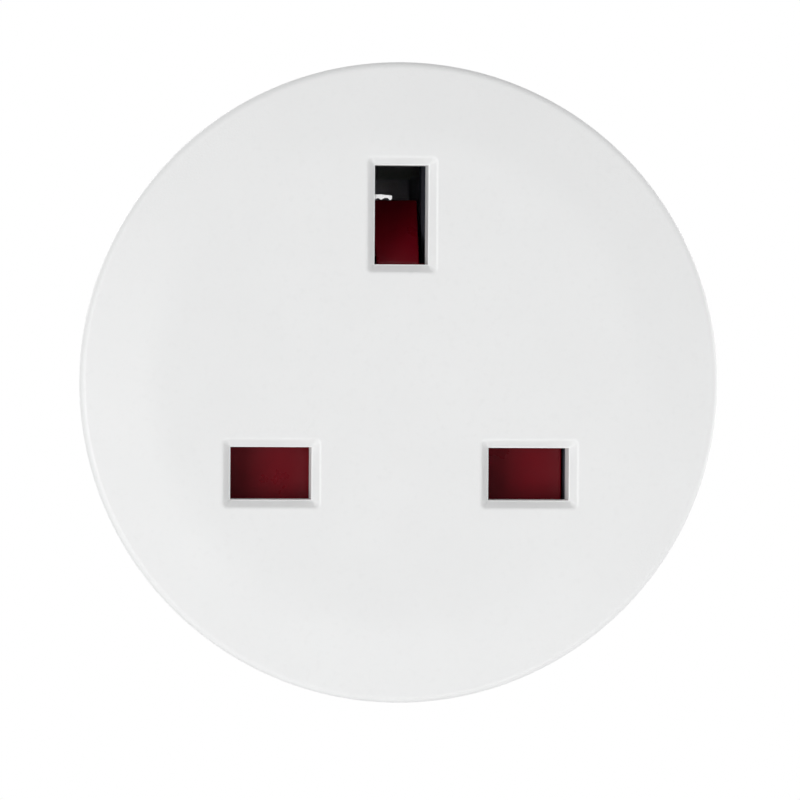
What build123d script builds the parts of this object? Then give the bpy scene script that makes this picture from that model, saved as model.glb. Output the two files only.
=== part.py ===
from build123d import *
import os
from math import radians, tan

# A travel adapter: a British three-pin socket in front of a round continental
# plug that has both kinds of earth contact. Sizes are in millimetres.
# X is to the right seen from the front, Z is up, and Y runs into the wall.
# The origin is the centre of the plug nose's end face.

# Body
COVER_RADIUS = 27.5
BODY_DEPTH = 27.0
SEAM_STEP = 0.3
BODY_DRAFT = 2.0
SHOULDER_FILLET = 1.8
HOUSING_WALL = 2.2
REAR_WALL = 2.0

# Front cover
FACE_THICKNESS = 2.5
FLAT_RADIUS = 21.0
DOME_DROP = 0.85
EDGE_FILLET = 1.0
COVER_DEPTH = 8.0
COVER_WALL = 2.2
COLLAR_WALL = 1.2
COLLAR_DEPTH = 3.7
RAIL_SPREAD = 9.6
RAIL_WIDTH = 1.2

# Lip of the rear housing inside the cover's rebate
LIP_THICKNESS = 1.2
LIP_HEIGHT = 1.5
LIP_CLEARANCE = 0.1

# Socket apertures
SOCKET_SPREAD = 22.2
SOCKET_EARTH_RISE = 22.2
SOCKET_LINE_Z = -7.8
SIDE_SLOT_WIDTH = 6.95
SIDE_SLOT_HEIGHT = 4.5
EARTH_SLOT_WIDTH = 4.6
EARTH_SLOT_HEIGHT = 8.5
SLOT_CHAMFER = 0.7

# Plug nose
NOSE_RADIUS = 18.2
NOSE_LENGTH = 17.5
NOSE_DRAFT = 1.0
NOSE_FILLET = 1.2
NOSE_WALL = 2.0
NOSE_END_WALL = 3.0
WEB_THICKNESS = 1.6
GROOVE_WIDTH = 6.0
GROOVE_DEPTH = 2.0
STRAP_POCKET_WIDTH = 8.4
STRAP_POCKET_FLOOR = 15.4

# Screws, bosses and ribs
SCREW_COUNT = 3
SCREW_FIRST_ANGLE = 30.0
SCREW_HEAD_RADIUS = 2.5
SCREW_HEAD_HEIGHT = 1.7
SCREW_CORE_RADIUS = 1.15
SCREW_LENGTH = 18.0
SCREW_CROSS_LENGTH = 2.8
SCREW_CROSS_WIDTH = 0.6
SCREW_CROSS_DEPTH = 1.0
PILOT_CLEARANCE = 0.05
PASSING_CLEARANCE = 0.4
COUNTERBORE_CLEARANCE = 0.2
COUNTERBORE_DEPTH = 2.6
COUNTERBORE_WALL = 1.0
COUNTERBORE_FLOOR = 2.0
PILOT_END_GAP = 1.5
BOSS_RADIUS = 2.8
BOSS_WALL_GAP = 0.6
BOSS_REACH = 2.7
RIB_COUNT = 6
RIB_REACH = 2.4
RIB_THICKNESS = 1.6
RIB_ROOT = 0.3

# Shutter and its spring
SHUTTER_THICKNESS = 1.6
BLADE_SETBACK = 1.8
BLADE_OVERLAP = 0.65
BLADE_SHY = 0.175
SLIDE_GAP = 0.2
STEM_WIDTH = 6.0
STEM_FOOT_WIDTH = 12.0
STEM_FOOT_HEIGHT = 4.4
STEM_FILLET = 1.2
RAMP_WIDTH = 3.9
RAMP_FOOT_RISE = 0.15
RAMP_BLOCK_HEIGHT = 5.8
RAMP_RESERVE = 0.3
RAMP_TIP = 0.6
RAMP_THICKNESS = 1.3
SPRING_RADIUS = 1.6
SPRING_WIRE = 0.36
SPRING_TURNS = 9
SPRING_WIRE_SIDES = 6
SPRING_NOTCH_GAP = 0.6
SPRING_NOTCH_RISE = 1.4
SPIGOT_RADIUS = 0.8
SPIGOT_LENGTH = 2.0

# Contact cover
CONTACT_COVER_THICKNESS = 2.0
CONTACT_COVER_CLEARANCE = 0.25
CONTACT_SLOT_MARGIN = 0.15
RAMP_SLOT_MARGIN = 0.35
RAMP_SLOT_TOP_MARGIN = 0.25
NOTCH_CLEARANCE = 0.3
GUIDE_THICKNESS = 1.2
GUIDE_HEIGHT = 2.3
GUIDE_END_GAP = 0.5
SPRING_POST_WIDTH = 6.0
SPRING_POST_HEIGHT = 1.5
SPRING_POST_DEPTH = 2.7
CHANNEL_GAP = 0.2
CHANNEL_DEPTH = 0.8
HOLD_DOWN_CLEARANCE = 0.1

# Contacts
CONTACT_THICKNESS = 0.8
CONTACT_WIDTH = 6.0
CONTACT_GRIP = 3.6
CONTACT_ROOT = 3.4
CONTACT_FLARE = 1.1
CONTACT_BEND = 0.8
MOUTH_GAP = 1.0
NECK_DEPTH = 2.2
EAR_RADIUS = 3.0
EAR_NECK_WIDTH = 1.9
EAR_RELIEF = 0.3
EARTH_CONTACT_WIDTH = 5.0
EARTH_TAIL_WIDTH = 5.8
EARTH_HEAD_GAP = 0.4
CLIP_THICKNESS = 0.4
CLIP_WIDTH = 3.4
CLIP_GAP = 0.05
CLIP_END_GAP = 0.6

# Plug pins
PIN_SPREAD = 19.0
PIN_RADIUS = 2.4
PIN_LENGTH = 19.0
PIN_TIP_FILLET = 1.9
PIN_SHAFT_RADIUS = 2.6
PIN_HOLE_CLEARANCE = 0.05
PIN_TUBE_WALL = 1.35
PIN_FLANGE_RADIUS = 3.2
PIN_FLANGE_THICKNESS = 1.5
RIVET_RADIUS = 1.5
RIVET_HEAD_RADIUS = 2.5
RIVET_HEAD_HEIGHT = 0.8
RIVET_CLEARANCE = 0.05

# Earth parts of the plug
EARTH_HOLE_RISE = 10.0
SLEEVE_BORE_RADIUS = 2.45
SLEEVE_WALL = 0.6
SLEEVE_INSET = 1.5
SLEEVE_BORE_DEPTH = 15.0
SLEEVE_SLIT = 0.6
SLEEVE_SLIT_DEPTH = 8.5
SLEEVE_CLEARANCE = 0.1
SLEEVE_TUBE_WALL = 1.2
SLEEVE_MOUTH_MARGIN = 0.3
MOUTH_CHAMFER = 0.5
STRAP_WIDTH = 6.5
STRAP_THICKNESS = 0.6
STRAP_LIFT = 0.4
STRAP_BOW = 0.5
STRAP_BEND = 0.65
STRAP_SIDE_CLEARANCE = 0.15
STRAP_HOOK_DEPTH = 2.2
STRAP_HOOK_INSET = 2.2
STRAP_HOOK_CLEARANCE = 0.2
STRAP_SLOT_CLEARANCE = 0.2
EARTH_RIVET_DROP = 5.6
EARTH_RIVET_RADIUS = 1.2
EARTH_RIVET_HEAD_RADIUS = 2.0
EARTH_RIVET_HEAD_HEIGHT = 0.7

CUT = 1.0
MATCH = 0.01

# Places along Y, from the socket face to the plug's end
FACE_Y = -NOSE_LENGTH - BODY_DEPTH
PLATE_Y = FACE_Y + FACE_THICKNESS
SEAM_Y = FACE_Y + COVER_DEPTH
LIP_Y = SEAM_Y - LIP_HEIGHT
COLLAR_Y = FACE_Y + COLLAR_DEPTH
RAMP_Y = COLLAR_Y + SLIDE_GAP
SHUTTER_Y = COLLAR_Y + BLADE_SETBACK
SHUTTER_BACK_Y = SHUTTER_Y + SHUTTER_THICKNESS
SPRING_Y = SHUTTER_Y + SHUTTER_THICKNESS / 2
COVER_PLATE_Y = SHUTTER_BACK_Y + SLIDE_GAP
LEDGE_Y = COVER_PLATE_Y + CONTACT_COVER_THICKNESS
BOSS_Y = LEDGE_Y + BOSS_REACH
MOUTH_Y = LEDGE_Y + MOUTH_GAP
NECK_Y = MOUTH_Y + NECK_DEPTH
SHOULDER_Y = -NOSE_LENGTH
INNER_Y = SHOULDER_Y - REAR_WALL
SEAT_Y = SHOULDER_Y - COUNTERBORE_DEPTH
FLANGE_Y = INNER_Y - PIN_FLANGE_THICKNESS
BRIDGE_Y = INNER_Y - STRAP_THICKNESS

# Radii from the body's centre line
HOUSING_RADIUS = COVER_RADIUS - SEAM_STEP
SHOULDER_RADIUS = HOUSING_RADIUS - (SHOULDER_Y - SEAM_Y) * tan(radians(BODY_DRAFT))
CAVITY_RADIUS = HOUSING_RADIUS - HOUSING_WALL
CAVITY_FLOOR_RADIUS = SHOULDER_RADIUS - HOUSING_WALL
LIP_RADIUS = CAVITY_RADIUS + LIP_THICKNESS
REBATE_RADIUS = LIP_RADIUS + LIP_CLEARANCE
COVER_INNER_RADIUS = COVER_RADIUS - COVER_WALL
CONTACT_COVER_RADIUS = CAVITY_RADIUS - CONTACT_COVER_CLEARANCE
SCREW_CIRCLE = CAVITY_RADIUS - BOSS_WALL_GAP - BOSS_RADIUS
RIB_INNER_RADIUS = CAVITY_RADIUS - RIB_REACH
NOSE_END_RADIUS = NOSE_RADIUS - NOSE_LENGTH * tan(radians(NOSE_DRAFT))

# Heights and half widths of the socket side
SIDE_X = SOCKET_SPREAD / 2
EARTH_Z = SOCKET_LINE_Z + SOCKET_EARTH_RISE
BLADE_HALF_HEIGHT = SIDE_SLOT_HEIGHT / 2 + BLADE_OVERLAP
BLADE_TOP_Z = SOCKET_LINE_Z + BLADE_HALF_HEIGHT
BLADE_BOTTOM_Z = SOCKET_LINE_Z - BLADE_HALF_HEIGHT
BLADE_REACH = SIDE_X + SIDE_SLOT_WIDTH / 2 - BLADE_SHY
STROKE = 2 * BLADE_HALF_HEIGHT
RAMP_FOOT_Z = EARTH_Z - EARTH_SLOT_HEIGHT / 2 + RAMP_FOOT_RISE
RAMP_RISE = STROKE - RAMP_RESERVE
RAMP_TOP_Z = RAMP_FOOT_Z + RAMP_RISE
RAMP_TOP_Y = RAMP_Y + RAMP_RISE
SPRING_TOP_Z = BLADE_TOP_Z + SPRING_NOTCH_RISE
SPRING_SEAT_Z = BOSS_RADIUS + NOTCH_CLEARANCE + SPRING_POST_HEIGHT - SCREW_CIRCLE
PIN_X = PIN_SPREAD / 2


def slab(outline, near, far):
    """The outline, drawn in X and Z, made solid from y = near to y = far."""
    return extrude(Plane.XZ.offset(-near) * outline, amount=near - far)


def rod(radius, near, far, x=0, z=0):
    """A round bar along Y."""
    return slab(Pos(x, z) * Circle(radius), near, far)


def strip(width, low, high, x=0):
    """A rectangle drawn in X and Z, from z = low to z = high."""
    return Pos(x, (low + high) / 2) * Rectangle(width, high - low)


def turned(points, x=0, z=0):
    """A body of revolution about Y, from its (radius, y) points."""
    return Pos(x, 0, z) * revolve(make_face(Polyline(*points, close=True)), Axis.Y)


def around(solid, count, first_angle=0):
    """Copies of a solid round the Y axis, the first at first_angle above X."""
    step = 360 / count
    return [Rot(0, -first_angle - turn * step, 0) * solid for turn in range(count)]


def radial_rib(points):
    """A rib in the plane of X and Y, from its (radius, y) points."""
    face = make_face(Polyline(*points, close=True))
    return extrude(face, amount=RIB_THICKNESS / 2, both=True)


def circle_edge(solid, radius, y):
    """The round edge of this radius at this place along Y."""
    circles = solid.edges().filter_by(GeomType.CIRCLE)
    level = circles.filter_by_position(Axis.Y, y - MATCH, y + MATCH)
    return [edge for edge in level if abs(edge.radius - radius) < MATCH]


def slots(side_margin=0.0):
    """The outlines of the live and neutral apertures, grown by a margin."""
    width = SIDE_SLOT_WIDTH + 2 * side_margin
    height = SIDE_SLOT_HEIGHT + 2 * side_margin
    return [Pos(x, SOCKET_LINE_Z) * Rectangle(width, height) for x in (-SIDE_X, SIDE_X)]


def earth_slot(margin=0.0):
    """The outline of the earth aperture, grown by a margin."""
    width = EARTH_SLOT_WIDTH + 2 * margin
    height = EARTH_SLOT_HEIGHT + 2 * margin
    return Pos(0, EARTH_Z) * Rectangle(width, height)


def front_cover():
    """The round face with its three apertures, collars, rails and screw bosses."""
    flat = Line((0, FACE_Y), (FLAT_RADIUS, FACE_Y))
    dome = TangentArc(flat @ 1, (COVER_RADIUS, FACE_Y + DOME_DROP), tangent=(1, 0))
    inside = Polyline(
        (COVER_RADIUS, FACE_Y + DOME_DROP),
        (COVER_RADIUS, SEAM_Y),
        (REBATE_RADIUS, SEAM_Y),
        (REBATE_RADIUS, LIP_Y - LIP_CLEARANCE),
        (COVER_INNER_RADIUS, LIP_Y - LIP_CLEARANCE),
        (COVER_INNER_RADIUS, PLATE_Y),
        (0, PLATE_Y),
        (0, FACE_Y),
    )
    cover = revolve(make_face(flat + dome + inside), Axis.Y)
    cover = fillet(circle_edge(cover, COVER_RADIUS, FACE_Y + DOME_DROP), EDGE_FILLET)

    for outline in slots(COLLAR_WALL) + [earth_slot(COLLAR_WALL)]:
        cover += slab(outline, PLATE_Y - CUT, COLLAR_Y)

    rail_top = BLADE_TOP_Z + SPRING_NOTCH_RISE
    rail_bottom = BLADE_BOTTOM_Z - STROKE - GUIDE_END_GAP
    for x in (-RAIL_SPREAD / 2, RAIL_SPREAD / 2):
        rail = strip(RAIL_WIDTH, rail_bottom, rail_top, x)
        cover += slab(rail, PLATE_Y - CUT, SHUTTER_Y - SLIDE_GAP)

    hold_y = COVER_PLATE_Y - HOLD_DOWN_CLEARANCE
    step_y = min(LIP_Y - SLIDE_GAP, hold_y)
    hold_down = radial_rib(
        [
            (RIB_INNER_RADIUS, PLATE_Y - CUT),
            (COVER_INNER_RADIUS + RIB_ROOT, PLATE_Y - CUT),
            (COVER_INNER_RADIUS + RIB_ROOT, step_y),
            (CONTACT_COVER_RADIUS, step_y),
            (CONTACT_COVER_RADIUS, hold_y),
            (RIB_INNER_RADIUS, hold_y),
        ]
    )
    for rib in around(hold_down, RIB_COUNT):
        cover += rib

    boss = rod(BOSS_RADIUS, PLATE_Y - CUT, BOSS_Y, SCREW_CIRCLE)
    pilot_radius = SCREW_CORE_RADIUS + PILOT_CLEARANCE
    pilot = rod(pilot_radius, PLATE_Y + PILOT_END_GAP, BOSS_Y + CUT, SCREW_CIRCLE)
    for solid in around(boss, SCREW_COUNT, SCREW_FIRST_ANGLE):
        cover += solid
    for hole in around(pilot, SCREW_COUNT, SCREW_FIRST_ANGLE):
        cover -= hole

    for outline in slots() + [earth_slot()]:
        cover -= slab(outline, FACE_Y - CUT, COLLAR_Y + CUT)
    lines = cover.edges().filter_by(GeomType.LINE)
    rims = lines.filter_by_position(Axis.Y, FACE_Y - MATCH, FACE_Y + MATCH)
    return chamfer(rims, SLOT_CHAMFER)


def nose_outline():
    """The inside of the hollow nose, drawn in behind its pockets and grooves."""
    hollow = Circle(NOSE_RADIUS - NOSE_WALL - (NOSE_RADIUS - NOSE_END_RADIUS))
    pocket_width = STRAP_POCKET_WIDTH + 2 * NOSE_WALL
    pocket_z = STRAP_POCKET_FLOOR - NOSE_WALL
    groove_x = NOSE_RADIUS - GROOVE_DEPTH - NOSE_WALL
    groove_height = GROOVE_WIDTH + 2 * NOSE_WALL
    for side in (-1, 1):
        hollow -= Pos(0, side * (pocket_z + NOSE_RADIUS)) * Rectangle(pocket_width, 2 * NOSE_RADIUS)
        hollow -= Pos(side * (groove_x + NOSE_RADIUS), 0) * Rectangle(2 * NOSE_RADIUS, groove_height)
    return hollow


def rear_housing():
    """The deep shell behind the seam, with the plug nose moulded on its back."""
    housing = turned(
        [
            (0, 0),
            (NOSE_END_RADIUS, 0),
            (NOSE_RADIUS, SHOULDER_Y),
            (SHOULDER_RADIUS, SHOULDER_Y),
            (HOUSING_RADIUS, SEAM_Y),
            (LIP_RADIUS, SEAM_Y),
            (LIP_RADIUS, LIP_Y),
            (CAVITY_RADIUS, LIP_Y),
            (CAVITY_RADIUS, SEAM_Y),
            (CAVITY_FLOOR_RADIUS, INNER_Y),
            (0, INNER_Y),
        ]
    )
    housing = fillet(circle_edge(housing, SHOULDER_RADIUS, SHOULDER_Y), SHOULDER_FILLET)
    housing = fillet(circle_edge(housing, NOSE_END_RADIUS, 0), NOSE_FILLET)
    housing -= slab(nose_outline(), INNER_Y - CUT, -NOSE_END_WALL)

    # Webs, pin tubes and the earth sleeve's tube inside the nose
    sleeve_hole = SLEEVE_BORE_RADIUS + SLEEVE_WALL + SLEEVE_CLEARANCE
    pin_hole = PIN_SHAFT_RADIUS + PIN_HOLE_CLEARANCE
    inside = NOSE_RADIUS - GROOVE_DEPTH
    housing += slab(Rectangle(2 * inside, WEB_THICKNESS), INNER_Y, -CUT)
    housing += slab(Rectangle(WEB_THICKNESS, 2 * STRAP_POCKET_FLOOR), INNER_Y, -CUT)
    for x in (-PIN_X, PIN_X):
        housing += rod(pin_hole + PIN_TUBE_WALL, INNER_Y, -CUT, x)
    housing += rod(sleeve_hole + SLEEVE_TUBE_WALL, INNER_Y, -CUT, 0, EARTH_HOLE_RISE)

    # Ledges for the contact cover, and tubes for the screws
    ledge = radial_rib(
        [
            (RIB_INNER_RADIUS, LEDGE_Y),
            (CAVITY_RADIUS + RIB_ROOT, LEDGE_Y),
            (CAVITY_FLOOR_RADIUS + RIB_ROOT, INNER_Y + RIB_ROOT),
            (RIB_INNER_RADIUS, INNER_Y + RIB_ROOT),
        ]
    )
    for rib in around(ledge, RIB_COUNT):
        housing += rib
    bore_radius = SCREW_HEAD_RADIUS + COUNTERBORE_CLEARANCE
    foot_y = SEAT_Y - COUNTERBORE_FLOOR
    tube = rod(BOSS_RADIUS, BOSS_Y, INNER_Y + RIB_ROOT, SCREW_CIRCLE)
    foot = rod(bore_radius + COUNTERBORE_WALL, foot_y, INNER_Y + RIB_ROOT, SCREW_CIRCLE)
    hole = rod(SCREW_CORE_RADIUS + PASSING_CLEARANCE, BOSS_Y - CUT, SHOULDER_Y, SCREW_CIRCLE)
    counterbore = rod(bore_radius, SEAT_Y, SHOULDER_Y + CUT, SCREW_CIRCLE)
    outer = turned(
        [(0, BOSS_Y), (HOUSING_RADIUS - RIB_ROOT, BOSS_Y), (SHOULDER_RADIUS - RIB_ROOT, SHOULDER_Y), (0, SHOULDER_Y)]
    )
    for solid in around(tube + foot, SCREW_COUNT, SCREW_FIRST_ANGLE):
        housing += solid & outer
    for solid in around(hole + counterbore, SCREW_COUNT, SCREW_FIRST_ANGLE):
        housing -= solid

    # Holes for the pins and the earth sleeve
    for x in (-PIN_X, PIN_X):
        housing -= rod(pin_hole, INNER_Y - CUT, CUT, x)
    mouth_y = -SLEEVE_INSET + SLEEVE_CLEARANCE
    mouth_radius = SLEEVE_BORE_RADIUS + SLEEVE_MOUTH_MARGIN
    housing -= rod(sleeve_hole, INNER_Y - CUT, mouth_y, 0, EARTH_HOLE_RISE)
    housing -= turned(
        [
            (0, mouth_y - CUT),
            (mouth_radius, mouth_y - CUT),
            (mouth_radius, -MOUTH_CHAMFER),
            (mouth_radius + MOUTH_CHAMFER + CUT, CUT),
            (0, CUT),
        ],
        z=EARTH_HOLE_RISE,
    )

    # The rivet's tail head sits in the upright web
    rivet_z = EARTH_HOLE_RISE - EARTH_RIVET_DROP
    tail_radius = EARTH_RIVET_HEAD_RADIUS + SLEEVE_CLEARANCE
    tail_y = INNER_Y + EARTH_RIVET_HEAD_HEIGHT + SLEEVE_CLEARANCE
    housing -= rod(tail_radius, INNER_Y - CUT, tail_y, 0, rivet_z)

    # Strap pockets above and below, their slots, and the grooves at the sides
    strap_slot = STRAP_WIDTH + 2 * STRAP_SIDE_CLEARANCE
    leg_outer = STRAP_POCKET_FLOOR + STRAP_LIFT + STRAP_THICKNESS + STRAP_SLOT_CLEARANCE
    hook_z = STRAP_POCKET_FLOOR + STRAP_LIFT - STRAP_HOOK_DEPTH - STRAP_HOOK_CLEARANCE
    hook_y = -STRAP_HOOK_INSET
    hook_half = STRAP_THICKNESS / 2 + STRAP_HOOK_CLEARANCE
    pocket = slab(strip(STRAP_POCKET_WIDTH, STRAP_POCKET_FLOOR, NOSE_RADIUS + CUT), SHOULDER_Y, CUT)
    pocket += slab(strip(strap_slot, STRAP_POCKET_FLOOR, leg_outer), INNER_Y - CUT, SHOULDER_Y)
    pocket += slab(
        strip(strap_slot, hook_z, STRAP_POCKET_FLOOR + CUT), hook_y - hook_half, hook_y + hook_half
    )
    housing -= pocket
    housing -= mirror(pocket, Plane.XY)
    groove = Pos(NOSE_RADIUS, 0) * Rectangle(2 * GROOVE_DEPTH, GROOVE_WIDTH)
    groove = slab(groove, SHOULDER_Y, CUT)
    housing -= groove
    housing -= mirror(groove, Plane.YZ)
    return housing


def contact_cover():
    """The inner plate that closes the contact chamber and guides the shutter."""
    outline = Circle(CONTACT_COVER_RADIUS)
    for outline_slot in slots(CONTACT_SLOT_MARGIN):
        outline -= outline_slot
    ramp_slot_bottom = RAMP_FOOT_Z - RAMP_BLOCK_HEIGHT - SPRING_NOTCH_RISE
    ramp_slot_top = EARTH_Z + EARTH_SLOT_HEIGHT / 2 + RAMP_SLOT_TOP_MARGIN
    outline -= strip(RAMP_WIDTH + 2 * RAMP_SLOT_MARGIN, ramp_slot_bottom, ramp_slot_top)
    plate = slab(outline, COVER_PLATE_Y, LEDGE_Y)

    notch = rod(BOSS_RADIUS + NOTCH_CLEARANCE, COVER_PLATE_Y - CUT, LEDGE_Y + CUT, SCREW_CIRCLE)
    for hole in around(notch, SCREW_COUNT, SCREW_FIRST_ANGLE):
        plate -= hole

    channel = strip(2 * (SPRING_RADIUS + CHANNEL_GAP), SPRING_SEAT_Z, SPRING_TOP_Z)
    plate -= slab(channel, COVER_PLATE_Y - CUT, COVER_PLATE_Y + CHANNEL_DEPTH)

    guide_x = BLADE_REACH + SLIDE_GAP + GUIDE_THICKNESS / 2
    guide_bottom = BLADE_BOTTOM_Z - STROKE - GUIDE_END_GAP
    for x in (-guide_x, guide_x):
        guide = strip(GUIDE_THICKNESS, guide_bottom, SPRING_TOP_Z, x)
        plate += slab(guide, COVER_PLATE_Y - GUIDE_HEIGHT, COVER_PLATE_Y)

    post = strip(SPRING_POST_WIDTH, SPRING_SEAT_Z - SPRING_POST_HEIGHT, SPRING_SEAT_Z)
    plate += slab(post, COVER_PLATE_Y - SPRING_POST_DEPTH, COVER_PLATE_Y)
    seat = Plane((0, SPRING_Y, SPRING_SEAT_Z))
    plate += extrude(seat * Circle(SPIGOT_RADIUS), amount=SPIGOT_LENGTH)
    return plate


def shutter():
    """The sliding shutter: two blades, a stem, and the ramp that the earth pin pushes."""
    foot_top = BLADE_TOP_Z + STEM_FOOT_HEIGHT
    outline = strip(2 * BLADE_REACH, BLADE_BOTTOM_Z, BLADE_TOP_Z)
    outline += strip(STEM_FOOT_WIDTH, SOCKET_LINE_Z, foot_top)
    outline += strip(STEM_WIDTH, SOCKET_LINE_Z, RAMP_FOOT_Z)
    corners = outline.vertices()
    inner = [v for v in corners if abs(v.Y - BLADE_TOP_Z) < MATCH and abs(v.X) < STEM_FOOT_WIDTH]
    inner += [v for v in corners if abs(v.Y - foot_top) < MATCH]
    outline = fillet(inner, STEM_FILLET)
    notch_width = 2 * (SPRING_RADIUS + SPRING_NOTCH_GAP)
    outline -= strip(notch_width, BLADE_BOTTOM_Z - CUT, SPRING_TOP_Z)
    body = slab(outline, SHUTTER_Y, SHUTTER_BACK_Y)

    back_drop = RAMP_TOP_Z - RAMP_THICKNESS
    tip_y = RAMP_TOP_Y + RAMP_TIP
    ramp = Polyline(
        (RAMP_Y, RAMP_FOOT_Z - RAMP_BLOCK_HEIGHT),
        (RAMP_Y, RAMP_FOOT_Z),
        (RAMP_TOP_Y, RAMP_TOP_Z),
        (tip_y, RAMP_TOP_Z),
        (tip_y, back_drop),
        (SHUTTER_BACK_Y, back_drop - (tip_y - SHUTTER_BACK_Y)),
        (SHUTTER_BACK_Y, RAMP_FOOT_Z - RAMP_BLOCK_HEIGHT),
        close=True,
    )
    body += extrude(Plane.YZ * make_face(ramp), amount=RAMP_WIDTH / 2, both=True)

    top = Plane((0, SPRING_Y, SPRING_TOP_Z))
    return body + extrude(top * Circle(SPIGOT_RADIUS), amount=-SPIGOT_LENGTH)


def shutter_spring():
    """The coil spring that holds the shutter up. Its fine round wire has six sides here."""
    low = SPRING_SEAT_Z + SPRING_WIRE / 2
    height = SPRING_TOP_Z - SPRING_SEAT_Z - SPRING_WIRE
    coil_radius = SPRING_RADIUS - SPRING_WIRE / 2
    helix = Helix(height / SPRING_TURNS, height, coil_radius, center=(0, SPRING_Y, low))
    wire = Plane(helix @ 0, z_dir=helix % 0) * RegularPolygon(SPRING_WIRE / 2, SPRING_WIRE_SIDES)
    return sweep(wire, path=helix, is_frenet=True)


def fork(leg, thickness):
    """A bent strip: one leg's (y, across) points from mouth to root, and its mirror."""
    other = [(y, -across) for y, across in reversed(leg)]
    return trace(FilletPolyline(*leg, *other, radius=CONTACT_BEND), line_width=thickness)


def contact_leg(root_y):
    """The centre line of one contact leg, which grips the pin at its neck."""
    neck = (CONTACT_GRIP + CONTACT_THICKNESS) / 2
    return [(MOUTH_Y, neck + CONTACT_FLARE), (NECK_Y, neck), (root_y, CONTACT_ROOT)]


def side_contact():
    """The live contact: a fork for the flat pin, with an ear riveted to the plug pin."""
    base_y = FLANGE_Y - CONTACT_THICKNESS / 2
    profile = fork(contact_leg(base_y), CONTACT_THICKNESS)
    line = Plane((SIDE_X, 0, SOCKET_LINE_Z), x_dir=(0, 1, 0), z_dir=(1, 0, 0))
    contact = extrude(line * profile, amount=CONTACT_WIDTH / 2, both=True)

    side = SIDE_X - CONTACT_WIDTH / 2
    neck_x = side - EAR_RELIEF - EAR_NECK_WIDTH / 2
    bend_z = SOCKET_LINE_Z + CONTACT_ROOT - CONTACT_BEND - EAR_RELIEF
    ear = Pos(PIN_X, 0) * Circle(EAR_RADIUS)
    ear += strip(EAR_NECK_WIDTH, SOCKET_LINE_Z, 0, neck_x)
    join_left = neck_x - EAR_NECK_WIDTH / 2
    ear += strip(side + EAR_RELIEF - join_left, SOCKET_LINE_Z, bend_z, (join_left + side + EAR_RELIEF) / 2)
    ear -= Pos(PIN_X, 0) * Circle(RIVET_RADIUS + RIVET_CLEARANCE)
    return contact + slab(ear, FLANGE_Y - CONTACT_THICKNESS, FLANGE_Y)


def contact_clip():
    """The steel clip round the live contact's fork, which keeps its grip."""
    outset = (CONTACT_THICKNESS + CLIP_THICKNESS) / 2 + CLIP_GAP
    root_y = FLANGE_Y - CONTACT_THICKNESS / 2 + outset
    neck = (CONTACT_GRIP + CONTACT_THICKNESS) / 2
    lean = (CONTACT_ROOT - neck) / (FLANGE_Y - CONTACT_THICKNESS / 2 - NECK_Y)
    end_y = NECK_Y + CLIP_END_GAP
    leg = [
        (end_y, neck + CLIP_END_GAP * lean + outset),
        (root_y, CONTACT_ROOT + outset * (1 + lean)),
    ]
    line = Plane((SIDE_X, 0, SOCKET_LINE_Z), x_dir=(0, 1, 0), z_dir=(1, 0, 0))
    return extrude(line * fork(leg, CLIP_THICKNESS), amount=CLIP_WIDTH / 2, both=True)


def earth_contact():
    """The earth contact: an upright fork on a tail that lies on the strap."""
    base_y = BRIDGE_Y - CONTACT_THICKNESS / 2
    tail_bottom = EARTH_HOLE_RISE - EARTH_RIVET_DROP - EAR_RADIUS
    fork_bottom = EARTH_HOLE_RISE + RIVET_HEAD_RADIUS + EARTH_HEAD_GAP
    middle = Plane((0, 0, fork_bottom), x_dir=(0, 1, 0), z_dir=(0, 0, -1))
    profile = fork(contact_leg(base_y), CONTACT_THICKNESS)
    contact = extrude(middle * profile, amount=-EARTH_CONTACT_WIDTH)
    tail = strip(EARTH_TAIL_WIDTH, tail_bottom, fork_bottom + EARTH_CONTACT_WIDTH)
    tail -= Pos(0, EARTH_HOLE_RISE) * Circle(RIVET_RADIUS + RIVET_CLEARANCE)
    rivet_hole = Circle(EARTH_RIVET_RADIUS + RIVET_CLEARANCE)
    tail -= Pos(0, EARTH_HOLE_RISE - EARTH_RIVET_DROP) * rivet_hole
    return contact + slab(tail, BRIDGE_Y - CONTACT_THICKNESS, BRIDGE_Y)


def plug_pin():
    """The live plug pin, with its flange and the riveted end inside the body."""
    rivet_y = FLANGE_Y - CONTACT_THICKNESS
    pin = turned(
        [
            (0, rivet_y - RIVET_HEAD_HEIGHT),
            (RIVET_HEAD_RADIUS, rivet_y - RIVET_HEAD_HEIGHT),
            (RIVET_HEAD_RADIUS, rivet_y),
            (RIVET_RADIUS, rivet_y),
            (RIVET_RADIUS, FLANGE_Y),
            (PIN_FLANGE_RADIUS, FLANGE_Y),
            (PIN_FLANGE_RADIUS, INNER_Y),
            (PIN_SHAFT_RADIUS, INNER_Y),
            (PIN_SHAFT_RADIUS, 0),
            (PIN_RADIUS, 0),
            (PIN_RADIUS, PIN_LENGTH),
            (0, PIN_LENGTH),
        ],
        x=PIN_X,
    )
    pin = fillet(circle_edge(pin, PIN_RADIUS, PIN_LENGTH), PIN_TIP_FILLET)
    head = circle_edge(pin, RIVET_HEAD_RADIUS, rivet_y - RIVET_HEAD_HEIGHT)
    return fillet(head, RIVET_HEAD_HEIGHT / 2)


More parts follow.
